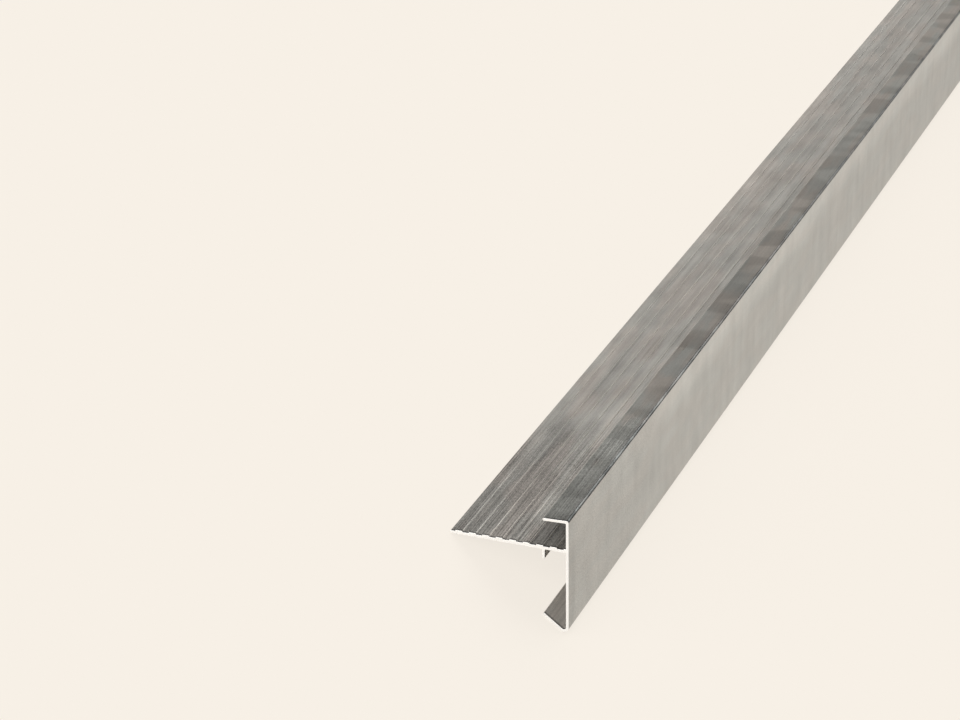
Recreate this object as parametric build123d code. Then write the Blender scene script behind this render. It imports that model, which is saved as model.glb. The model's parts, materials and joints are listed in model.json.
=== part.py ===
from build123d import *
import math
import os

# Aluminium roof edge trim: one straight length of a single extruded section, in millimetres.
# The section is drawn upright, with x outwards to the weather face and y upwards.
# Its origin is the outer top corner, so the whole section lies at x <= 0 and y <= 0.

# Overall sizes
face_height = 60.0
flange_width = 60.0
stock_length = 2500.0
wall = 1.4

# Top lip, which covers the channel for the roofing sheet and closes a little towards its tip
lip_width = 13.0
lip_slope = 2.0
channel_height = 13.7

# Castellated flange that is laid on the roof edge
ridge_height = 0.6
ridge_pitch = 6.85
ridge_width = 3.6
ridge_taper = 0.1
tip_land = 2.6

# Locating lug under the flange
lug_setback = 12.0
lug_depth = 5.0
lug_wall = 1.3

# Return lip at the foot of the face, folded inwards and up
return_width = 13.4
return_angle = 37.0

# Roundings
top_radius = 1.2
foot_inner_radius = 1.2
corner_radius = 0.6
end_radius = 0.4
ridge_radius = 0.12

# Levels and points that follow from the sizes above
ridge_top = -(wall + channel_height)
flange_top = ridge_top - ridge_height
flange_bottom = flange_top - wall
lug_right = -lug_setback
lug_left = lug_right - lug_wall
lug_bottom = flange_bottom - lug_depth
foot_radius = foot_inner_radius + wall
lip_tip = -lip_width * math.tan(math.radians(lip_slope))

# The outsides of the face and the return lip would meet in a sharp corner below the rounded foot
half_fold = math.radians(90 - return_angle) / 2
foot_corner = -face_height - foot_radius * (1 / math.tan(half_fold) - 1)
return_tip = foot_corner + return_width * math.tan(math.radians(return_angle))


def rectangle(left, right, bottom, top):
    """A straight wall of the section, given by its four sides."""
    return Pos((left + right) / 2, (bottom + top) / 2) * Rectangle(right - left, top - bottom)


def corner(sketch, x, y):
    """The corner of a sketch nearest to a point."""
    return sketch.vertices().sort_by_distance(Vector(x, y))[0]


def rounded(sketch, radius, *points):
    """The sketch with the corners at these points rounded."""
    return fillet([corner(sketch, x, y) for x, y in points], radius)


def free_end(strip, x, y):
    """The two corners of a wall's free end, found from the outer one."""
    return [(v.X, v.Y) for v in strip.vertices().sort_by_distance(Vector(x, y))[:2]]


def folded_wall():
    """Lip, face and return lip: one wall, square at the top and folded back at the foot."""
    outside = Polyline(
        (-lip_width, lip_tip),
        (0, 0),
        (0, foot_corner),
        (-return_width, return_tip),
    )
    outline = offset(outside, wall, side=Side.RIGHT, kind=Kind.INTERSECTION)
    strip = make_face(outline.edges())
    free_ends = free_end(strip, -lip_width, lip_tip) + free_end(strip, -return_width, return_tip)
    strip = rounded(strip, end_radius, *free_ends)
    inner_foot = foot_corner + wall / math.tan(half_fold)
    strip = rounded(strip, foot_inner_radius, (-wall, inner_foot))
    strip = rounded(strip, foot_radius, (0, foot_corner))
    return rounded(strip, top_radius, (0, 0))


def ridge(left):
    """One ridge of the flange, slightly narrower at its top."""
    right = left + ridge_width
    root = flange_top - wall / 2
    shape = make_face(
        Polyline(
            (left, root),
            (right, root),
            (right, flange_top),
            (right - ridge_taper, ridge_top),
            (left + ridge_taper, ridge_top),
            (left, flange_top),
            close=True,
        )
    )
    return rounded(shape, ridge_radius, (left + ridge_taper, ridge_top), (right - ridge_taper, ridge_top))


def flange():
    """Flange with its row of ridges, the last one cut short by the face."""
    plate = rectangle(-flange_width, -wall / 2, flange_bottom, flange_top)
    plate = rounded(plate, end_radius, (-flange_width, flange_bottom), (-flange_width, flange_top))
    first = tip_land - flange_width
    count = int((-wall - first) / ridge_pitch) + 1
    for number in range(count):
        plate += ridge(first + number * ridge_pitch)
    return plate - rectangle(-wall / 2, flange_width, flange_bottom, ridge_top)


def lug():
    """Thin leg under the flange that locates the trim against the edge of the roof."""
    leg = rectangle(lug_left, lug_right, lug_bottom, flange_bottom + wall / 2)
    return rounded(leg, end_radius, (lug_left, lug_bottom), (lug_right, lug_bottom))


def section():
    """The whole upright section, with its inside corners eased as the die leaves them."""
    shape = folded_wall() + flange() + lug()
    return rounded(
        shape,
        corner_radius,
        (-wall, -wall),
        (-wall, flange_bottom),
        (lug_left, flange_bottom),
        (lug_right, flange_bottom),
    )


def lean(foot_x, foot_y, radius):
    """Angle at which the tip of the flange and a rounded foot touch the same floor, in degrees."""
    tip_x = end_radius - flange_width
    tip_y = flange_bottom + end_radius
    span = math.hypot(foot_x - tip_x, foot_y - tip_y)
    slope = math.asin((tip_y - foot_y) / span)
    return math.degrees(slope + math.asin((radius - end_radius) / span))


def rest_angle():
    """The trim lies on the tip of its flange and on its foot, so this much out of upright."""
    slope = math.radians(return_angle)
    end_x = -return_width + end_radius * (math.cos(slope) + math.sin(slope))
    end_y = return_tip + end_radius * (math.cos(slope) - math.sin(slope))
    on_foot = lean(-foot_radius, foot_radius - face_height, foot_radius)
    on_return_end = lean(end_x, end_y, end_radius)
    return max(on_foot, on_return_end)


def trim_profile():
    """The straight length, lying as it comes to rest, centred over the floor."""
    upright = extrude(Plane.XZ * section(), stock_length / 2, both=True)
    lying = Rot(0, -rest_angle(), 0) * upright
    box = lying.bounding_box()
    middle = box.center()
    return Pos(-middle.X, -middle.Y, -box.min.Z) * lying


if __name__ == "__main__":
    os.makedirs("parts", exist_ok=True)
    export_step(trim_profile(), "parts/trim_profile.step")
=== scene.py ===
"""Looks of an aluminium roof edge trim, dressed around its measured frame.

The trim is one extruded length. Its section is described upright, with x outwards to the weather
face and z upwards, from the outer top corner, and it is leaned as the trim lies at rest.
"""
import json
import logging
import math
from dataclasses import dataclass
from enum import Enum
from typing import Any, Union

import bpy
from mathutils import Euler, Matrix, Vector


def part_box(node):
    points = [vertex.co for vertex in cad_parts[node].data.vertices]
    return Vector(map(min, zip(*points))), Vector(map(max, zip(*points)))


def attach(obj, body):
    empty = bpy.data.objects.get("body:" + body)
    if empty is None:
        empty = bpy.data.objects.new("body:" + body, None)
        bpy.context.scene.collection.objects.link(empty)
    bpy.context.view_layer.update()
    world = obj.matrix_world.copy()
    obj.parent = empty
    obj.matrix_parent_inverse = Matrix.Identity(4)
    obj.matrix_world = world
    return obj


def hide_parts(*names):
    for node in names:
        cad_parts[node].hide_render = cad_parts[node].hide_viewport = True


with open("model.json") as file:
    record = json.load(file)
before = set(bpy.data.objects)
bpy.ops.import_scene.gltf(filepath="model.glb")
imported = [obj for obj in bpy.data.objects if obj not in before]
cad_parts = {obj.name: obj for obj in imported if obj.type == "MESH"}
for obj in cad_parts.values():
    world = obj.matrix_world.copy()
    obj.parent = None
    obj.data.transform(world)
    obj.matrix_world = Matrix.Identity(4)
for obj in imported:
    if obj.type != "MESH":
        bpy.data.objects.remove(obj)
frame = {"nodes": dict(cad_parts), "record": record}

log = logging.getLogger("roof_edge_trim")

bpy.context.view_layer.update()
MM = 0.001
SLACK = 0.1 * MM
SHARP_TURN = math.radians(35.0)

Colour = tuple[float, float, float]
Value = Union[float, "Signal"]


class Zone(Enum):
    """Stretches of the section that the extruder, the press and the saw leave differently, whose
    colours also hold painted shade and light.
    """

    WEATHER = "weather_face"
    LIP = "top_lip"
    FLANGE = "castellated_flange"
    RIDGE_SIDE = "ridge_sides"
    INSIDE = "inner_walls"
    SAWN = "sawn_end"


@dataclass(frozen=True)
class Ramp:
    """A smooth step: the two levels of a signal that it joins, and its results at them."""

    low: float
    high: float
    start: float = 0.0
    end: float = 1.0


@dataclass(frozen=True)
class Grain:
    """Noise drawn out along the trim: its size across and along in millimetres, seed and octaves."""

    width: float
    length: float
    seed: float
    detail: float = 2.0
    roughness: float = 0.55


class Signal:
    """An output socket on which Python's operators add Math nodes."""

    def __init__(self, sheet: "NodeSheet", socket: bpy.types.NodeSocket) -> None:
        """Wrap one output socket of a sheet."""
        self.sheet = sheet
        self.socket = socket

    def _math(self, operation: str, *terms: Value) -> "Signal":
        """Add one Math node.

        Args:
            operation: The Math node's operation.
            *terms: Its inputs in order, as numbers or signals.

        Returns:
            The node's result.
        """
        inputs = dict(enumerate(terms))
        return self.sheet.signal("ShaderNodeMath", {"operation": operation}, inputs)

    def __add__(self, other: Value) -> "Signal":
        """Sum with a number or signal."""
        return self._math("ADD", self, other)

    def __radd__(self, other: float) -> "Signal":
        """Sum with a number on the left."""
        return self._math("ADD", other, self)

    def __sub__(self, other: Value) -> "Signal":
        """Difference from a number or signal."""
        return self._math("SUBTRACT", self, other)

    def __rsub__(self, other: float) -> "Signal":
        """Difference of a number on the left, so that 1 - mask works."""
        return self._math("SUBTRACT", other, self)

    def __mul__(self, other: Value) -> "Signal":
        """Product with a number or signal."""
        return self._math("MULTIPLY", self, other)

    def __rmul__(self, other: float) -> "Signal":
        """Product with a number on the left."""
        return self._math("MULTIPLY", other, self)

    def __truediv__(self, other: Value) -> "Signal":
        """Quotient by a number or signal."""
        return self._math("DIVIDE", self, other)

    def above(self, level: Value) -> "Signal":
        """1 where the signal is over a level, and 0 elsewhere."""
        return self._math("GREATER_THAN", self, level)

    def below(self, level: Value) -> "Signal":
        """1 where the signal is under a level, and 0 elsewhere."""
        return self._math("LESS_THAN", self, level)

    def size(self) -> "Signal":
        """The signal without its sign."""
        return self._math("ABSOLUTE", self)

    def wrapped(self, period: float) -> "Signal":
        """How far the signal is into its latest period."""
        return self._math("FLOORED_MODULO", self, period)

    def capped(self) -> "Signal":
        """The signal held at 1 from above."""
        return self._math("MINIMUM", self, 1.0)

    def ramped(self, ramp: Ramp) -> "Signal":
        """Turn a stretch of the signal into a smooth step.

        Args:
            ramp: The step, whose second level may be the lower of the two.

        Returns:
            The stepped signal.
        """
        inputs = {
            "Value": self,
            "From Min": ramp.low,
            "From Max": ramp.high,
            "To Min": ramp.start,
            "To Max": ramp.end,
        }
        return self.sheet.signal("ShaderNodeMapRange", {"interpolation_type": "SMOOTHSTEP"}, inputs)


class NodeSheet:
    """A node tree with one way of adding any node."""

    def __init__(self, tree: bpy.types.NodeTree) -> None:
        """Start from an existing tree."""
        self.tree = tree

    def node(
        self,
        kind: str,
        settings: dict[str, Any] | None = None,
        inputs: dict[str | int, Any] | None = None,
    ) -> bpy.types.Node:
        """Add a node of any type.

        Args:
            kind: Blender's name for the node's type.
            settings: Properties of the node, set before its sockets.
            inputs: Values or links of its sockets, by place, identifier or name.

        Returns:
            The new node.
        """
        made = self.tree.nodes.new(kind)
        for name, value in (settings or {}).items():
            setattr(made, name, value)
        for key, value in (inputs or {}).items():
            self.plug(self.socket(made, key), value)
        return made

    def signal(
        self,
        kind: str,
        settings: dict[str, Any] | None = None,
        inputs: dict[str | int, Any] | None = None,
        output: str | int = 0,
    ) -> Signal:
        """Add a node and keep one of its outputs.

        Args:
            kind: Blender's name for the node's type.
            settings: Properties of the node.
            inputs: Values or links of its sockets.
            output: Place or name of the output.

        Returns:
            The output as a signal.
        """
        return Signal(self, self.node(kind, settings, inputs).outputs[output])

    @staticmethod
    def socket(node: bpy.types.Node, key: str | int) -> bpy.types.NodeSocket:
        """Find an input by its place, its identifier or else its name."""
        if isinstance(key, int):
            return node.inputs[key]
        return next((s for s in node.inputs if s.identifier == key), None) or node.inputs[key]

    def plug(self, socket: bpy.types.NodeSocket, value: Any) -> None:
        """Set a socket's value, or link a signal or another socket to it."""
        source = value.socket if isinstance(value, Signal) else value
        if isinstance(source, bpy.types.NodeSocket):
            self.tree.links.new(source, socket)
        else:
            socket.default_value = source

    def mixed(self, amount: Value, first: Any, second: Any) -> Signal:
        """Blend two colours.

        Args:
            amount: Share of the second colour.
            first: Colour or signal shown at 0.
            second: Colour or signal shown at 1.

        Returns:
            The blended colour.
        """
        colours = [(*c, 1.0) if isinstance(c, tuple) else c for c in (first, second)]
        inputs = {"Factor_Float": amount, "A_Color": colours[0], "B_Color": colours[1]}
        node = self.node("ShaderNodeMix", {"data_type": "RGBA"}, inputs)
        return Signal(self, next(s for s in node.outputs if s.identifier == "Result_Color"))

    def vector(self, operation: str, first: Any, second: Any) -> Signal:
        """Add one Vector Math node on two vectors."""
        return self.signal("ShaderNodeVectorMath", {"operation": operation}, {0: first, 1: second})

    def scaled(self, colour: Any, amount: Value) -> Signal:
        """A colour times one number or signal."""
        inputs = {0: colour, "Scale": amount}
        return self.signal("ShaderNodeVectorMath", {"operation": "SCALE"}, inputs)


@dataclass(frozen=True)
class Corner:
    """One corner of the section, which is rounded where its radius isn't zero."""

    x: float
    z: float
    radius: float = 0.0


@dataclass(frozen=True)
class TrimSection:
    """Sizes of the upright section, in metres."""

    face_height: float = 60.0 * MM
    flange_width: float = 60.0 * MM
    wall: float = 1.4 * MM
    lip_width: float = 13.0 * MM
    lip_slope: float = math.radians(2.0)
    channel_height: float = 13.7 * MM
    ridge_height: float = 0.6 * MM
    ridge_pitch: float = 6.85 * MM
    ridge_width: float = 3.6 * MM
    ridge_taper: float = 0.1 * MM
    tip_land: float = 2.6 * MM
    lug_setback: float = 12.0 * MM
    lug_depth: float = 5.0 * MM
    lug_wall: float = 1.3 * MM
    return_width: float = 13.4 * MM
    return_angle: float = math.radians(37.0)
    top_radius: float = 1.2 * MM
    foot_inner_radius: float = 1.2 * MM
    corner_radius: float = 0.6 * MM
    end_radius: float = 0.4 * MM
    ridge_radius: float = 0.12 * MM

    @property
    def ridge_top(self) -> float:
        """Level of the ridges' tops."""
        return -(self.wall + self.channel_height)

    @property
    def flange_top(self) -> float:
        """Level of the grooves between the ridges."""
        return self.ridge_top - self.ridge_height

    @property
    def flange_bottom(self) -> float:
        """Level of the flange's underside."""
        return self.flange_top - self.wall

    def corners(self) -> list[Corner]:
        """Walk once around the section, over the lip, down the face and back along the flange.

        Returns:
            The section's corners in order.
        """
        return [
            *self._folded_outside(),
            *self._underside(),
            *self._castellations(),
            *self._channel(),
        ]

    def _folded_outside(self) -> list[Corner]:
        """Outside of the lip, the face and the return lip, with the return lip's own free end."""
        foot_radius = self.foot_inner_radius + self.wall
        half_fold = (math.pi / 2 - self.return_angle) / 2
        foot = -self.face_height - foot_radius * (1 / math.tan(half_fold) - 1)
        tip = foot + self.return_width * math.tan(self.return_angle)
        inner_x = self.wall * math.sin(self.return_angle) - self.return_width
        inner_z = self.wall * math.cos(self.return_angle) + tip
        return [
            Corner(-self.lip_width, self._lip_level(-self.lip_width), self.end_radius),
            Corner(0.0, 0.0, self.top_radius),
            Corner(0.0, foot, foot_radius),
            Corner(-self.return_width, tip, self.end_radius),
            Corner(inner_x, inner_z, self.end_radius),
            Corner(-self.wall, foot + self.wall / math.tan(half_fold), self.foot_inner_radius),
        ]

    def _underside(self) -> list[Corner]:
        """Inside of the face below the flange, and the flange's underside with its lug."""
        right = -self.lug_setback
        left = right - self.lug_wall
        foot = self.flange_bottom - self.lug_depth
        return [
            Corner(-self.wall, self.flange_bottom, self.corner_radius),
            Corner(right, self.flange_bottom, self.corner_radius),
            Corner(right, foot, self.end_radius),
            Corner(left, foot, self.end_radius),
            Corner(left, self.flange_bottom, self.corner_radius),
            Corner(-self.flange_width, self.flange_bottom, self.end_radius),
        ]

    def _castellations(self) -> list[Corner]:
        """Top of the flange with its ridges, the last one cut short by the face."""
        walk = [Corner(-self.flange_width, self.flange_top, self.end_radius)]
        left = self.tip_land - self.flange_width
        while left < -self.wall:
            right = left + self.ridge_width
            walk.append(Corner(left, self.flange_top))
            walk.append(Corner(left + self.ridge_taper, self.ridge_top, self.ridge_radius))
            if right < -self.wall:
                walk.append(Corner(right - self.ridge_taper, self.ridge_top, self.ridge_radius))
                walk.append(Corner(right, self.flange_top))
            left += self.ridge_pitch
        root = self.ridge_top if walk[-1].z > self.flange_top else self.flange_top
        return [*walk, Corner(-self.wall, root)]

    def _channel(self) -> list[Corner]:
        """Root of the channel under the lip, and the underside of the lip's free end."""
        drop = self.wall / math.cos(self.lip_slope)
        tip_x = self.wall * math.sin(self.lip_slope) - self.lip_width
        tip_z = self._lip_level(-self.lip_width) - self.wall * math.cos(self.lip_slope)
        return [
            Corner(-self.wall, self._lip_level(-self.wall) - drop, self.corner_radius),
            Corner(tip_x, tip_z, self.end_radius),
        ]

    def _lip_level(self, x: float) -> float:
        """Level of the lip's top at a place across it."""
        return x * math.tan(self.lip_slope)


@dataclass(frozen=True)
class Placement:
    """Where the upright section stands in the row frame once it is leaned on the floor."""

    lean: float
    corner: Vector

    @classmethod
    def from_frame(cls, node: str, mount: str, section: TrimSection) -> "Placement":
        """Read the lean off the mount under the flange, and find the outer top corner.

        Args:
            node: The frame's node for the trim, whose outermost plane is the weather face.
            mount: Name of the mount on the flange's underside.
            section: The section's sizes.

        Returns:
            The placement of the section's outer top corner.
        """
        stated = next(m for m in frame["record"]["mounts"] if m["name"] == mount)
        lean = math.atan2(stated["axis"][0], -stated["axis"][2])
        raised = Matrix.Rotation(lean, 3, "Y")
        face = max((raised @ v.co).x for v in frame["nodes"][node].data.vertices)
        underside = (raised @ Vector(stated["pos_m"])).z
        corner = Vector((face, 0.0, underside - section.flange_bottom))
        return cls(lean, raised.inverted() @ corner)

    @property
    def matrix(self) -> Matrix:
        """Turns a point of the upright section into one of the row frame."""
        return Matrix.Translation(self.corner) @ Matrix.Rotation(-self.lean, 4, "Y")


class SurfaceSheet(NodeSheet):
    """The nodes of one finish, read in millimetres of the upright section."""

    def __init__(self, material: bpy.types.Material, place: Placement, half_length: float) -> None:
        """Open a material for painting.

        Args:
            material: The material, whose nodes are cleared.
            place: Where the section stands.
            half_length: Half the trim's length, in metres.
        """
        material.use_nodes = True
        material.node_tree.nodes.clear()
        super().__init__(material.node_tree)
        turned = {
            "Vector": Signal(self, self.node("ShaderNodeTexCoord").outputs["Object"]),
            "Location": place.corner,
            "Rotation": (0.0, -place.lean, 0.0),
            "Scale": (MM, MM, MM),
        }
        self.point = self.signal("ShaderNodeMapping", {"vector_type": "TEXTURE"}, turned)
        split = self.node("ShaderNodeSeparateXYZ", None, {0: self.point})
        self.x, along, self.z = (Signal(self, s) for s in split.outputs)
        self.from_end = half_length / MM - along.size()

    def grain(self, grain: Grain) -> Signal:
        """Spread a grain over the surface.

        Args:
            grain: The grain's sizes and seed.

        Returns:
            Noise around 0, mostly within a tenth either way.
        """
        stretch = (1 / grain.width, 1 / grain.length, 1 / grain.width)
        inputs = {
            "Vector": self.vector("MULTIPLY", self.point, stretch),
            "W": grain.seed,
            "Scale": 1.0,
            "Detail": grain.detail,
            "Roughness": grain.roughness,
        }
        return self.signal("ShaderNodeTexNoise", {"noise_dimensions": "4D"}, inputs) - 0.5

    def metal(
        self, colour: Signal, roughness: Value, metallic: float, height: Signal, relief: float
    ) -> None:
        """Join the finished patterns to the surface.

        Args:
            colour: Base colour.
            roughness: Roughness.
            metallic: Metallic share.
            height: Relief pattern, around 0.
            relief: Depth of that pattern, in metres.
        """
        raised = {"Height": height, "Distance": relief, "Strength": 1.0}
        inputs = {
            "Base Color": colour,
            "Roughness": roughness,
            "Metallic": metallic,
            "Normal": self.signal("ShaderNodeBump", None, raised),
        }
        surface = self.signal("ShaderNodeBsdfPrincipled", None, inputs)
        self.node("ShaderNodeOutputMaterial", None, {"Surface": surface})


@dataclass(frozen=True)
class CornerStainAndShade:
    """Broken dark line along the outer top corner: partly a real dark stain, partly painted shade
    that dims the rounding's highlight.
    """

    across: Ramp = Ramp(-1.6, -1.2)
    down: Ramp = Ramp(-1.2, -0.8)
    grain: Grain = Grain(30.0, 16.0, 8.0)
    breaks: Ramp = Ramp(-0.15, 0.1, 0.5, 0.8)
    fading: Ramp = Ramp(160.0, 60.0, 0.85, 1.0)

    def shade(self, sheet: SurfaceSheet) -> Signal:
        """Draw the line on a zone beside the corner.

        Args:
            sheet: The zone's sheet.

        Returns:
            The line's shade, 1 away from it.
        """
        strength = sheet.grain(self.grain).ramped(self.breaks) * sheet.from_end.ramped(self.fading)
        # Dark corner line: part real stain, part painted shade over the corner's highlight.
        return 1 - sheet.x.ramped(self.across) * sheet.z.ramped(self.down) * strength


@dataclass(frozen=True)
class RidgeHighlight:
    """Painted highlight along the ridges, standing for light caught on their rounded edges, fading
    from each end.
    """

    fading: Ramp = Ramp(95.0, 5.0)
    inner_limit: float = -23.0
    grain: Grain = Grain(5.0, 60.0, 7.0)
    patches: Ramp = Ramp(-0.1, 0.1, 0.35, 1.0)

    def amount(self, sheet: SurfaceSheet) -> Signal:
        """Find where a zone with ridges gets the painted highlight.

        Args:
            sheet: The zone's sheet.

        Returns:
            The painted highlight's strength, up to 1.
        """
        patches = sheet.grain(self.grain).ramped(self.patches)
        return sheet.from_end.ramped(self.fading) * sheet.x.below(self.inner_limit) * patches


@dataclass(frozen=True)
class MillFinish:
    """Untreated extruded aluminium, with its die lines, soft clouds, and painted shade toward the
    ends and behind the saw cuts.

    Places and reaches are in millimetres, and strengths are shares of the colour's own shade.
    """

    zone: Zone
    cool: Colour
    warm: Colour
    roughness: float = 0.42
    metallic: float = 1.0
    fine_lines: float = 0.8
    line_grain: Grain = Grain(0.4, 80.0, 1.0, 4.0)
    streaks: float = 0.25
    streak_grain: Grain = Grain(1.8, 60.0, 2.0, 3.0)
    speckle: float = 0.3
    speckle_grain: Grain = Grain(0.6, 1.6, 9.0, 3.0)
    clouds: float = 0.12
    cloud_grain: Grain = Grain(15.0, 32.0, 3.0)
    tints: Ramp = Ramp(-0.09, 0.09)
    tint_grain: Grain = Grain(11.0, 46.0, 4.0)
    end_stretch_reach: Ramp = Ramp(150.0, 80.0)
    end_drift: float = 60.0
    end_painted_shade: float = 0.2
    end_cool: float = 0.0
    calm: float = 0.25
    cut_painted_shadow: float = 0.6
    cut_reach: float = 1.8
    cut_core: float = 0.45
    unevenness: float = 0.1
    relief: float = 0.012 * MM
    streak_relief: float = 0.5

    def paint(self, material: bpy.types.Material, place: Placement, half_length: float) -> None:
        """Give a material this finish.

        Args:
            material: The material to paint.
            place: Where the section stands.
            half_length: Half the trim's length.
        """
        sheet = SurfaceSheet(material, place, half_length)
        fine = sheet.grain(self.line_grain)
        streak = sheet.grain(self.streak_grain)
        speckle = sheet.grain(self.speckle_grain)
        cloud = sheet.grain(self.cloud_grain)
        end_stretch = (sheet.from_end + cloud * self.end_drift).ramped(self.end_stretch_reach)
        busy = end_stretch * (1 - self.calm) + self.calm
        lines = (fine * self.fine_lines + speckle * self.speckle) * busy + streak * self.streaks
        # Painted shade: the stretch near each end is made darker; a negative strength makes it
        # lighter instead.
        shade = 1 + lines + cloud * self.clouds - end_stretch * self.end_painted_shade
        # Painted shadow: a dark line just behind each saw cut, as a burr would cast.
        at_cut = Ramp(self.cut_reach * self.cut_core, self.cut_reach, 1 - self.cut_painted_shadow, 1.0)
        shade = shade * sheet.from_end.ramped(at_cut)
        tint = sheet.grain(self.tint_grain) - end_stretch * self.end_cool
        metal = sheet.mixed(tint.ramped(self.tints), self.cool, self.warm)
        colour = sheet.scaled(metal, shade * self._marks(sheet, end_stretch))
        roughness = (fine + cloud) * self.unevenness + self.roughness
        sheet.metal(colour, roughness, self.metallic, fine + streak * self.streak_relief, self.relief)

    def _marks(self, sheet: SurfaceSheet, end_stretch: Signal) -> Value:
        """Shade of the marks that only this zone has."""
        return 1.0


@dataclass(frozen=True)
class LipFinish(MillFinish):
    """Top lip: lighter and darker in bands across it, with a painted highlight beside the corner."""

    line_grain: Grain = Grain(0.5, 80.0, 1.0, 4.0)
    bands: Ramp = Ramp(-0.05, 0.05, -0.15, 0.15)
    band_grain: Grain = Grain(60.0, 27.0, 94.0, 1.0)
    strip: Ramp = Ramp(-2.1, -1.6)
    strip_breaks: Ramp = Ramp(-0.12, 0.04, 0.4, 1.0)
    strip_grain: Grain = Grain(0.9, 5.0, 14.0)
    strip_highlight: float = 0.35
    strip_highlight_midway: float = 0.02
    groove_inner: Ramp = Ramp(-3.0, -2.6)
    groove_outer: Ramp = Ramp(-1.6, -2.1)
    groove_shade: float = 0.12
    lighter_from: Ramp = Ramp(55.0, 90.0)
    lighter_until: Ramp = Ramp(210.0, 140.0)
    lighter_lift: float = 0.12
    end_painted_dimming: Ramp = Ramp(2.0, 60.0, 0.86, 1.0)
    corner_stain_and_shade: CornerStainAndShade = CornerStainAndShade()

    def _marks(self, sheet: SurfaceSheet, end_stretch: Signal) -> Signal:
        """Bands across the lip, a dark line, and a painted highlight strip by the corner.

        Args:
            sheet: The zone's sheet.
            end_stretch: 1 on the stretch near each end.

        Returns:
            The marks' shade.
        """
        band = sheet.grain(self.band_grain).ramped(self.bands)
        strip = sheet.x.ramped(self.strip) * sheet.grain(self.strip_grain).ramped(self.strip_breaks)
        groove = sheet.x.ramped(self.groove_inner) * sheet.x.ramped(self.groove_outer)
        # Painted highlight: the strip beside the corner is made paler, most near the ends.
        pale_strip = 1 + strip * (end_stretch * (self.strip_highlight - self.strip_highlight_midway) + self.strip_highlight_midway)
        # A lighter stretch, from about 55 to 210 mm from each end.
        lighter_stretch = sheet.from_end.ramped(self.lighter_from) * sheet.from_end.ramped(self.lighter_until)
        # Painted shade: the lip is dimmed over the last 60 mm toward each cut.
        along = (1 + band + lighter_stretch * self.lighter_lift) * sheet.from_end.ramped(self.end_painted_dimming)
        return along * (pale_strip - groove * self.groove_shade) * self.corner_stain_and_shade.shade(sheet)


@dataclass(frozen=True)
class FaceFinish(MillFinish):
    """Weather face: marked by wipes, with painted light along its top, away from the ends."""

    top: Ramp = Ramp(-22.0, -6.0)
    top_painted_light: float = 0.26
    top_drift: float = 14.0
    top_grain: Grain = Grain(26.0, 60.0, 6.0)
    top_end_fade: float = 0.7
    wipes: float = 0.35
    wipe_grain: Grain = Grain(40.0, 10.0, 13.0)
    corner_stain_and_shade: CornerStainAndShade = CornerStainAndShade()

    def _marks(self, sheet: SurfaceSheet, end_stretch: Signal) -> Signal:
        """The painted light along the top, the marks of wiping and the dark corner line.

        Args:
            sheet: The zone's sheet.
            end_stretch: 1 on the stretch near each end.

        Returns:
            The marks' shade.
        """
        # Painted light: the face is made paler towards its top, away from the ends.
        level = sheet.z + sheet.grain(self.top_grain) * self.top_drift
        top = level.ramped(self.top) * (1 - end_stretch * self.top_end_fade)
        wiped = sheet.grain(self.wipe_grain) * self.wipes
        return (1 + top * self.top_painted_light + wiped) * self.corner_stain_and_shade.shade(sheet)


@dataclass(frozen=True)
class FlangeFinish(MillFinish):
    """Castellated flange: painted highlights along the crests near the ends, and painted shade on the
    floor of the channel.
    """

    section: TrimSection = TrimSection()
    crest_strip: float = 0.3
    crest_core: float = 0.6
    crest_highlight: float = 0.65
    ridge_highlight: RidgeHighlight = RidgeHighlight()
    mouth: Ramp = Ramp(-40.0, -26.0)
    mouth_reach: Ramp = Ramp(240.0, 120.0, 0.3, 1.0)
    mouth_light: float = 0.27
    scratches: float = 0.35
    scratch_grain: Grain = Grain(0.4, 110.0, 12.0, 1.0)
    scratch_lines: Ramp = Ramp(0.07, 0.13)
    channel: Ramp = Ramp(-21.0, -17.5, 1.0, 0.67)
    tip: Ramp = Ramp(-46.0, -52.0)
    tip_light: float = 0.13

    def _marks(self, sheet: SurfaceSheet, end_stretch: Signal) -> Signal:
        """Painted highlights on the crests, scratches by the channel's mouth and painted shade on the
        floor inside it.

        Args:
            sheet: The zone's sheet.
            end_stretch: 1 on the stretch near each end.

        Returns:
            The marks' shade.
        """
        part = self.section
        first_crest = (part.tip_land + part.ridge_width - part.flange_width) / MM
        into_strip = (sheet.x + (self.crest_strip - first_crest)).wrapped(part.ridge_pitch / MM)
        # Painted highlight on a strip along each crest, standing for light on its rounded edge.
        pale_strip = into_strip.ramped(Ramp(self.crest_strip, self.crest_strip * self.crest_core))
        crest = pale_strip * self.ridge_highlight.amount(sheet)
        mouth = sheet.x.ramped(self.mouth)
        scratch = sheet.grain(self.scratch_grain).ramped(self.scratch_lines) * end_stretch * mouth
        inner = mouth * sheet.from_end.ramped(self.mouth_reach) * self.mouth_light
        outer = sheet.x.ramped(self.tip) * (1 - end_stretch) * self.tip_light
        lines = 1 + crest * self.crest_highlight + scratch * self.scratches
        # Painted shade: the flange's floor under the lip is darkened to about two thirds.
        return lines * sheet.x.ramped(self.channel) * (1 + inner + outer)


@dataclass(frozen=True)
class RidgeFinish(MillFinish):
    """Sides of the ridges, painted paler than the flange as painted light against the shade beside
    them, with a painted highlight near the ends.
    """

    highlight_strength: float = 0.6
    ridge_highlight: RidgeHighlight = RidgeHighlight()

    def _marks(self, sheet: SurfaceSheet, end_stretch: Signal) -> Signal:
        """Painted highlight near the ends.

        Args:
            sheet: The zone's sheet.
            end_stretch: Not used.

        Returns:
            The marks' shade.
        """
        # Painted highlight on the ridge sides near the ends.
        return 1 + self.ridge_highlight.amount(sheet) * self.highlight_strength


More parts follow.
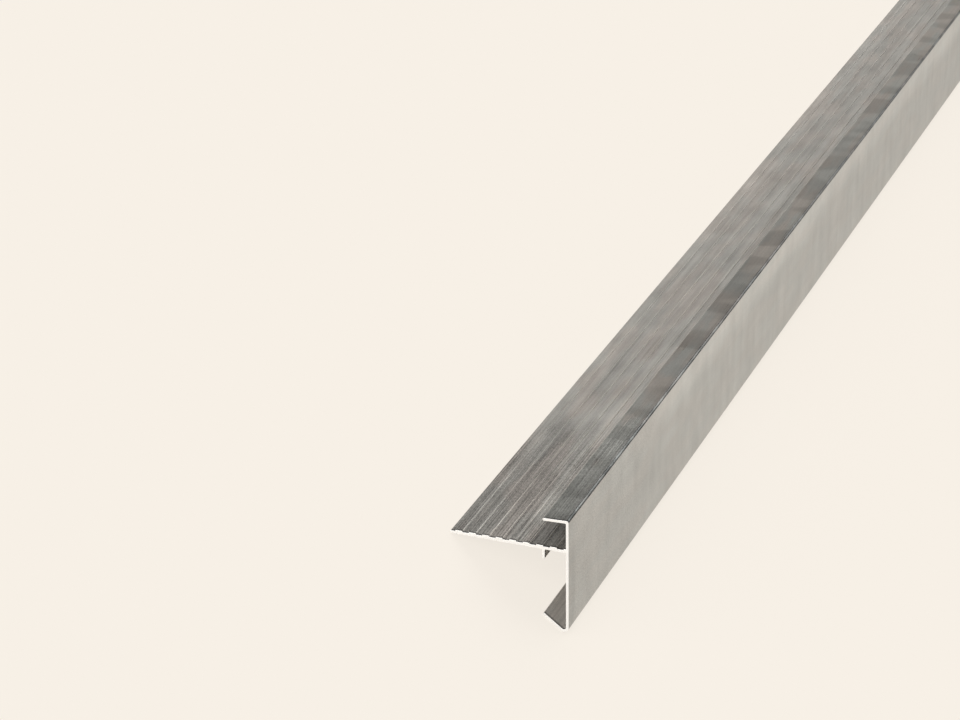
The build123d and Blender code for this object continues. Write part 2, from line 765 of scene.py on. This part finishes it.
@dataclass(frozen=True)
class SawnFinish:
    """Bright metal of a fresh saw cut, with the arcs that the blade leaves."""

    zone: Zone = Zone.SAWN
    bright: Colour = (0.95, 0.94, 0.92)
    roughness: float = 0.45
    metallic: float = 0.55
    blade_radius: float = 150.0
    tooth_pitch: float = 0.55
    least_shade: float = 0.92
    tooth_shade: float = 0.12
    tooth_dulling: float = 0.1
    relief: float = 0.006 * MM

    def paint(self, material: bpy.types.Material, place: Placement, half_length: float) -> None:
        """Give a material this finish.

        Args:
            material: The material to paint.
            place: Where the section stands.
            half_length: Half the trim's length.
        """
        sheet = SurfaceSheet(material, place, half_length)
        hub = (-self.blade_radius, 0.0, self.blade_radius)
        across = sheet.vector("MULTIPLY", sheet.vector("SUBTRACT", sheet.point, hub), (1.0, 0.0, 1.0))
        reach = sheet.signal("ShaderNodeVectorMath", {"operation": "LENGTH"}, {0: across}, "Value")
        arcs = {"W": reach / self.tooth_pitch, "Scale": 1.0}
        teeth = sheet.signal("ShaderNodeTexNoise", {"noise_dimensions": "1D"}, arcs)
        colour = sheet.scaled(self.bright, self.least_shade + teeth * self.tooth_shade)
        roughness = teeth * self.tooth_dulling + self.roughness
        sheet.metal(colour, roughness, self.metallic, teeth - 0.5, self.relief)


Finish = Union[MillFinish, SawnFinish]


@dataclass
class RoofEdgeTrim:
    """The extruded length: its section, the sweep along it and its finishes."""

    section: TrimSection
    place: Placement
    length: float
    centre_y: float
    finishes: list[Finish]
    name: str = "edge_trim"
    arc_step: float = 0.14 * MM
    least_arc_steps: int = 3
    cut_bevel: float = 0.1 * MM

    def build(self) -> bpy.types.Object:
        """Sweep the section, place it as it lies and dress it.

        Returns:
            The finished piece.
        """
        zones = [finish.zone for finish in self.finishes]
        materials = {zone: bpy.data.materials.new(zone.value) for zone in zones}
        piece = self._swept(materials)
        piece.data.transform(Matrix.Translation((0.0, self.centre_y, 0.0)) @ self.place.matrix)
        for finish in self.finishes:
            finish.paint(materials[finish.zone], self.place, self.length / 2)
        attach(piece, "root")
        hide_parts("trim_profile")
        return piece

    def _outline(self) -> bpy.types.Object:
        """Draw the section as a closed curve, whose point radii are the corners' own."""
        curve = bpy.data.curves.new("section_outline", "CURVE")
        curve.dimensions = "3D"
        walk = self.section.corners()
        spline = curve.splines.new("POLY")
        spline.points.add(len(walk) - 1)
        for point, corner in zip(spline.points, walk):
            point.co = (corner.x, -corner.z, 0.0, 1.0)
            point.radius = corner.radius
        spline.use_cyclic_u = True
        outline = bpy.data.objects.new(self.name, curve)
        bpy.context.scene.collection.objects.link(outline)
        return outline

    def _swept(self, materials: dict[Zone, bpy.types.Material]) -> bpy.types.Object:
        """Run the outline through the sweep and keep the result as a plain mesh.

        Args:
            materials: One material for each zone.

        Returns:
            The upright trim, centred along its length.
        """
        outline = self._outline()
        sweep = outline.modifiers.new("sweep", "NODES")
        sweep.node_group = SweepTree(materials).tree
        values = {
            "Half Length": self.length / 2,
            "Arc Step": self.arc_step,
            "Least Arc Steps": self.least_arc_steps,
            "Wall": self.section.wall,
            "Ridge Top": self.section.ridge_top,
            "Flange Top": self.section.flange_top,
            **{zone.value: material for zone, material in materials.items()},
        }
        for item in sweep.node_group.interface.items_tree:
            if item.in_out == "INPUT" and item.name in values:
                sweep[item.identifier] = values[item.name]
        piece = self._settled(outline)
        arris = piece.modifiers.new("arris", "BEVEL")
        arris.limit_method = "WEIGHT"
        arris.width = self.cut_bevel
        arris.segments = 1
        arris.use_clamp_overlap = False
        flat = piece.modifiers.new("flat_walls", "WEIGHTED_NORMAL")
        flat.keep_sharp = True
        return self._settled(piece)

    def _settled(self, source: bpy.types.Object) -> bpy.types.Object:
        """Turn an object with live modifiers into one with a plain mesh.

        Args:
            source: The object, which is removed.

        Returns:
            The object with its modifiers carried out.
        """
        bpy.context.view_layer.update()
        evaluated = source.evaluated_get(bpy.context.evaluated_depsgraph_get())
        mesh = bpy.data.meshes.new_from_object(evaluated)
        bpy.data.objects.remove(source)
        piece = bpy.data.objects.new(self.name, mesh)
        bpy.context.scene.collection.objects.link(piece)
        return piece


class SweepTree(NodeSheet):
    """Geometry nodes that round the outline's corners, sweep it and give each zone its material."""

    def __init__(self, materials: dict[Zone, bpy.types.Material]) -> None:
        """Build the tree.

        Args:
            materials: One material for each zone.
        """
        super().__init__(bpy.data.node_groups.new("sweep_section", "GeometryNodeTree"))
        self._declare(materials)
        self.given = self.node("NodeGroupInput")
        position = self.node("GeometryNodeInputPosition").outputs["Position"]
        self.place = self.node("ShaderNodeSeparateXYZ", None, {0: position})
        true_normal = self.node("GeometryNodeInputNormal").outputs["True Normal"]
        self.normal = self.node("ShaderNodeSeparateXYZ", None, {0: true_normal})
        mesh = self.signal("GeometryNodeRealizeInstances", None, {"Geometry": self._walls()})
        for zone, where in self._zones().items():
            chosen = {"Geometry": mesh, "Selection": where, "Material": self.wanted(zone.value)}
            mesh = self.signal("GeometryNodeSetMaterial", None, chosen)
        self.node("NodeGroupOutput", None, {0: mesh})

    def _declare(self, materials: dict[Zone, bpy.types.Material]) -> None:
        """Name the tree's inputs and its output."""
        face = self.tree.interface
        face.new_socket("Outline", in_out="INPUT", socket_type="NodeSocketGeometry")
        for name in ("Half Length", "Arc Step", "Wall", "Ridge Top", "Flange Top"):
            face.new_socket(name, in_out="INPUT", socket_type="NodeSocketFloat")
        face.new_socket("Least Arc Steps", in_out="INPUT", socket_type="NodeSocketInt")
        for zone in materials:
            face.new_socket(zone.value, in_out="INPUT", socket_type="NodeSocketMaterial")
        face.new_socket("Trim", in_out="OUTPUT", socket_type="NodeSocketGeometry")

    def wanted(self, name: str) -> Signal:
        """A named input of the tree."""
        return Signal(self, self.given.outputs[name])

    def _rounded(self) -> Signal:
        """Round the outline's corners by the radius that each of its points carries."""
        radius = self.signal("GeometryNodeInputRadius")
        steps = radius / self.wanted("Arc Step") + self.wanted("Least Arc Steps")
        corners = {"Curve": self.wanted("Outline"), "Radius": radius, "Count": steps}
        return self.signal("GeometryNodeFilletCurve", {"mode": "POLY"}, corners)

    def _walls(self) -> Signal:
        """Sweep the rounded outline along the trim's length and close its ends.

        Returns:
            The walls, with their sharp corners marked and a bevel weight around the saw cuts.
        """
        half = self.wanted("Half Length")
        near = self.signal("ShaderNodeCombineXYZ", None, {"Y": 0 - half})
        far = self.signal("ShaderNodeCombineXYZ", None, {"Y": half})
        line = self.signal("GeometryNodeCurvePrimitiveLine", None, {"Start": near, "End": far})
        swept = {"Curve": line, "Profile Curve": self._rounded(), "Fill Caps": True}
        mesh = self.signal("GeometryNodeCurveToMesh", None, swept)
        turn = self.signal("GeometryNodeInputMeshEdgeAngle")
        sharp = {"Geometry": mesh, "Selection": turn.above(SHARP_TURN), "Shade Smooth": False}
        mesh = self.signal("GeometryNodeSetShadeSmooth", {"domain": "EDGE"}, sharp)
        at_cut = Signal(self, self.place.outputs["Y"]).size().above(half - SLACK)
        weight = {"Geometry": mesh, "Selection": at_cut, "Name": "bevel_weight_edge", "Value": 1.0}
        kept = {"data_type": "FLOAT", "domain": "EDGE"}
        return self.signal("GeometryNodeStoreNamedAttribute", kept, weight)

    def _zones(self) -> dict[Zone, Signal]:
        """Where each zone's material goes, by a face's place and its way outwards.

        Returns:
            Each zone's selection, in an order in which a later one wins.
        """
        x, z = (Signal(self, self.place.outputs[k]) for k in ("X", "Z"))
        out, along, up = (Signal(self, self.normal.outputs[k]) for k in ("X", "Y", "Z"))
        wall = self.wanted("Wall")
        mid_wall = wall * -0.5
        under_lip_top = wall * -0.6
        clear_of_face = wall * -1.5
        diagonal = math.cos(math.pi / 4)
        upright = -0.1
        partly_out = 0.3
        over_grooves = z.above(self.wanted("Flange Top") - SLACK)
        flange = over_grooves * z.below(self.wanted("Ridge Top") + SLACK)
        side = along.size().below(diagonal)
        return {
            Zone.INSIDE: side,
            Zone.WEATHER: side * x.above(mid_wall) * out.above(diagonal),
            Zone.LIP: side * z.above(under_lip_top) * up.above(diagonal),
            Zone.FLANGE: side * flange * x.below(mid_wall) * up.above(upright),
            Zone.RIDGE_SIDE: side * flange * x.below(clear_of_face) * out.above(partly_out),
            Zone.SAWN: along.size().above(diagonal),
        }


@dataclass(frozen=True)
class FloorFinish:
    """Seamless pale paper: one even colour to the camera and in the metal, with a soft shadow."""

    colour: Colour = (0.930, 0.871, 0.791)
    even_share: float = 0.87

    def material(self) -> bpy.types.Material:
        """Make the paper.

        Returns:
            The material.
        """
        made = bpy.data.materials.new("pale_paper")
        made.use_nodes = True
        made.node_tree.nodes.clear()
        sheet = NodeSheet(made.node_tree)
        even = tuple(self.even_share * c for c in self.colour)
        shaded = tuple((1 - self.even_share) * c for c in self.colour)
        glow = sheet.signal("ShaderNodeEmission", None, {"Color": (*even, 1.0), "Strength": 1.0})
        shadow = sheet.signal("ShaderNodeBsdfDiffuse", None, {"Color": (*shaded, 1.0)})
        seen = sheet.signal("ShaderNodeAddShader", None, {0: glow, 1: shadow})
        lit = sheet.signal("ShaderNodeBsdfDiffuse", None, {"Color": (*self.colour, 1.0)})
        choice = {0: seen_directly(sheet), 1: lit, 2: seen}
        shown = sheet.signal("ShaderNodeMixShader", None, choice)
        sheet.node("ShaderNodeOutputMaterial", None, {"Surface": shown})
        return made


def seen_directly(sheet: NodeSheet) -> Signal:
    """1 for rays from the camera, or off or through the object, which show the background.

    Args:
        sheet: The sheet of a backdrop's nodes.

    Returns:
        The share of the background's own look.
    """
    path = sheet.node("ShaderNodeLightPath")
    kinds = ("Camera", "Glossy", "Transmission")
    camera, glossy, through = (Signal(sheet, path.outputs[f"Is {kind} Ray"]) for kind in kinds)
    return (camera + glossy + through).capped()


@dataclass(frozen=True)
class SoftLamp:
    """A broad lamp far away, so that it lights the whole length evenly."""

    name: str
    heading: float
    height: float
    strength: float
    spread: float
    colour: Colour = (1.0, 1.0, 1.0)

    def build(self) -> bpy.types.Object:
        """Hang the lamp.

        Returns:
            The lamp.
        """
        data = bpy.data.lights.new(self.name, "SUN")
        data.energy = self.strength
        data.angle = self.spread
        data.color = self.colour
        lamp = bpy.data.objects.new(self.name, data)
        lamp.rotation_euler = Euler((math.pi / 2 - self.height, 0.0, self.heading))
        bpy.context.scene.collection.objects.link(lamp)
        return lamp


@dataclass(frozen=True)
class Studio:
    """Pale floor, even surroundings and soft lamps."""

    floor: FloorFinish
    lamps: list[SoftLamp]
    floor_reach: float = 60.0
    wall: Colour = (0.14, 0.14, 0.145)
    ceiling: Colour = (0.85, 0.81, 0.75)
    fill: Colour = (0.3, 0.3, 0.3)
    wall_foot: tuple[float, float] = (math.radians(1.0), math.radians(12.0))
    wall_head: tuple[float, float] = (math.radians(35.0), math.radians(70.0))

    def build(self) -> None:
        """Lay the floor, light the surroundings and hang the lamps."""
        self._lay_floor()
        self._surround()
        for lamp in self.lamps:
            lamp.build()

    def _lay_floor(self) -> None:
        """A level floor, far wider than any view of the trim."""
        reach = self.floor_reach
        mesh = bpy.data.meshes.new("floor")
        around = ((-1, -1), (1, -1), (1, 1), (-1, 1))
        corners = [(x * reach, y * reach, 0.0) for x, y in around]
        mesh.from_pydata(corners, [], [(0, 1, 2, 3)])
        mesh.materials.append(self.floor.material())
        floor = bpy.data.objects.new("floor", mesh)
        bpy.context.scene.collection.objects.link(floor)

    def _surround(self) -> None:
        """Paper at the horizon, dark walls, a pale ceiling, and a plain fill for diffuse light."""
        world = bpy.data.worlds.new("studio")
        bpy.context.scene.world = world
        world.use_nodes = True
        world.node_tree.nodes.clear()
        sheet = NodeSheet(world.node_tree)
        ray = sheet.node("ShaderNodeTexCoord").outputs["Generated"]
        height = Signal(sheet, sheet.node("ShaderNodeSeparateXYZ", None, {0: ray}).outputs["Z"])
        foot, head = (
            height.ramped(Ramp(math.sin(start), math.sin(end)))
            for start, end in (self.wall_foot, self.wall_head)
        )
        room = sheet.mixed(head, sheet.mixed(foot, self.floor.colour, self.wall), self.ceiling)
        shown = sheet.mixed(seen_directly(sheet), self.fill, room)
        glow = sheet.signal("ShaderNodeBackground", None, {"Color": shown, "Strength": 1.0})
        sheet.node("ShaderNodeOutputWorld", None, {"Surface": glow})


@dataclass(frozen=True)
class ProductCamera:
    """The photograph's view, given from the near end's outer top corner of the upright trim."""

    lens: float = 100.1056
    sensor: float = 36.0
    clip_end: float = 200.0
    out: float = 0.375971
    before: float = 1.033220
    over: float = 0.590735
    heading: float = math.radians(22.087)
    tilt: float = math.radians(24.770)
    roll: float = math.radians(-0.918)

    def build(self, place: Placement, near_end: float) -> bpy.types.Object:
        """Set the camera up and lean it with the trim.

        Args:
            place: Where the section stands.
            near_end: Place of the near end along the row frame.

        Returns:
            The camera.
        """
        data = bpy.data.cameras.new("product_camera")
        data.lens = self.lens
        data.sensor_width = self.sensor
        data.clip_end = self.clip_end
        camera = bpy.data.objects.new("product_camera", data)
        stand = Matrix.Translation((self.out, near_end - self.before, self.over))
        turned = Matrix.Rotation(self.heading, 4, "Z")
        tilted = Matrix.Rotation(math.pi / 2 - self.tilt, 4, "X")
        rolled = Matrix.Rotation(self.roll, 4, "Z")
        camera.matrix_world = place.matrix @ stand @ turned @ tilted @ rolled
        bpy.context.scene.collection.objects.link(camera)
        bpy.context.scene.camera = camera
        return camera


def finishes() -> list[Finish]:
    """The finishes of the trim's zones.

    Returns:
        One finish for each zone.
    """
    return [
        MillFinish(
            Zone.INSIDE,
            cool=(0.50, 0.485, 0.455),
            warm=(0.52, 0.49, 0.455),
            metallic=0.4,
            speckle=0.6,
            end_painted_shade=0.0,
        ),
        FaceFinish(
            Zone.WEATHER,
            cool=(0.488, 0.496, 0.484),
            warm=(0.499, 0.496, 0.480),
            roughness=0.36,
            fine_lines=0.4,
            streaks=0.1,
            speckle=0.9,
            clouds=0.5,
            calm=0.3,
            end_painted_shade=0.04,
            cut_painted_shadow=0.12,
            cut_reach=12.0,
        ),
        # The lip's and the flange's darker colours are partly painted shade: darker copies of the
        # face's metal.
        LipFinish(
            Zone.LIP,
            cool=(0.345, 0.357, 0.346),
            warm=(0.374, 0.353, 0.329),
            roughness=0.3,
            fine_lines=2.4,
            speckle=2.0,
            clouds=0.3,
            end_painted_shade=-0.07,
            end_cool=0.12,
        ),
        FlangeFinish(
            Zone.FLANGE,
            cool=(0.295, 0.286, 0.265),
            warm=(0.311, 0.287, 0.262),
            roughness=0.5,
            metallic=0.5,
            fine_lines=2.2,
            streaks=0.75,
            speckle=1.6,
            clouds=0.7,
            calm=0.3,
            end_painted_shade=0.27,
        ),
        # The ridge sides' pale colour is painted light against the shade of the flanks and grooves.
        RidgeFinish(
            Zone.RIDGE_SIDE,
            cool=(0.53, 0.515, 0.48),
            warm=(0.55, 0.52, 0.48),
            roughness=0.4,
            metallic=0.4,
            fine_lines=0.2,
            speckle=0.0,
            end_painted_shade=0.0,
        ),
        SawnFinish(),
    ]


def lamps() -> list[SoftLamp]:
    """The studio's lamps.

    Returns:
        The key high over the far end, and a lower one before the near end, on the flange's side.
    """
    return [
        SoftLamp(
            "key",
            heading=math.radians(197.0),
            height=math.radians(51.0),
            strength=1.6,
            spread=math.radians(60.0),
        ),
        SoftLamp(
            "front",
            heading=math.radians(-32.0),
            height=math.radians(24.0),
            strength=2.4,
            spread=math.radians(40.0),
        ),
    ]


def main() -> None:
    """Build the trim and its studio in order."""
    section = TrimSection()
    place = Placement.from_frame("trim_profile", "roof_face", section)
    low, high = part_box("trim_profile")
    ProductCamera().build(place, low.y)
    Studio(FloorFinish(), lamps()).build()
    trim = RoofEdgeTrim(
        section,
        place,
        length=high.y - low.y,
        centre_y=(low.y + high.y) / 2,
        finishes=finishes(),
    ).build()
    log.info("%s has %d faces", trim.name, len(trim.data.polygons))
    log.info("it leans %.2f degrees", math.degrees(place.lean))
    bpy.context.scene.view_settings.view_transform = "Standard"


if __name__ == "__main__":
    logging.basicConfig(level=logging.INFO, format="%(message)s")
    main()
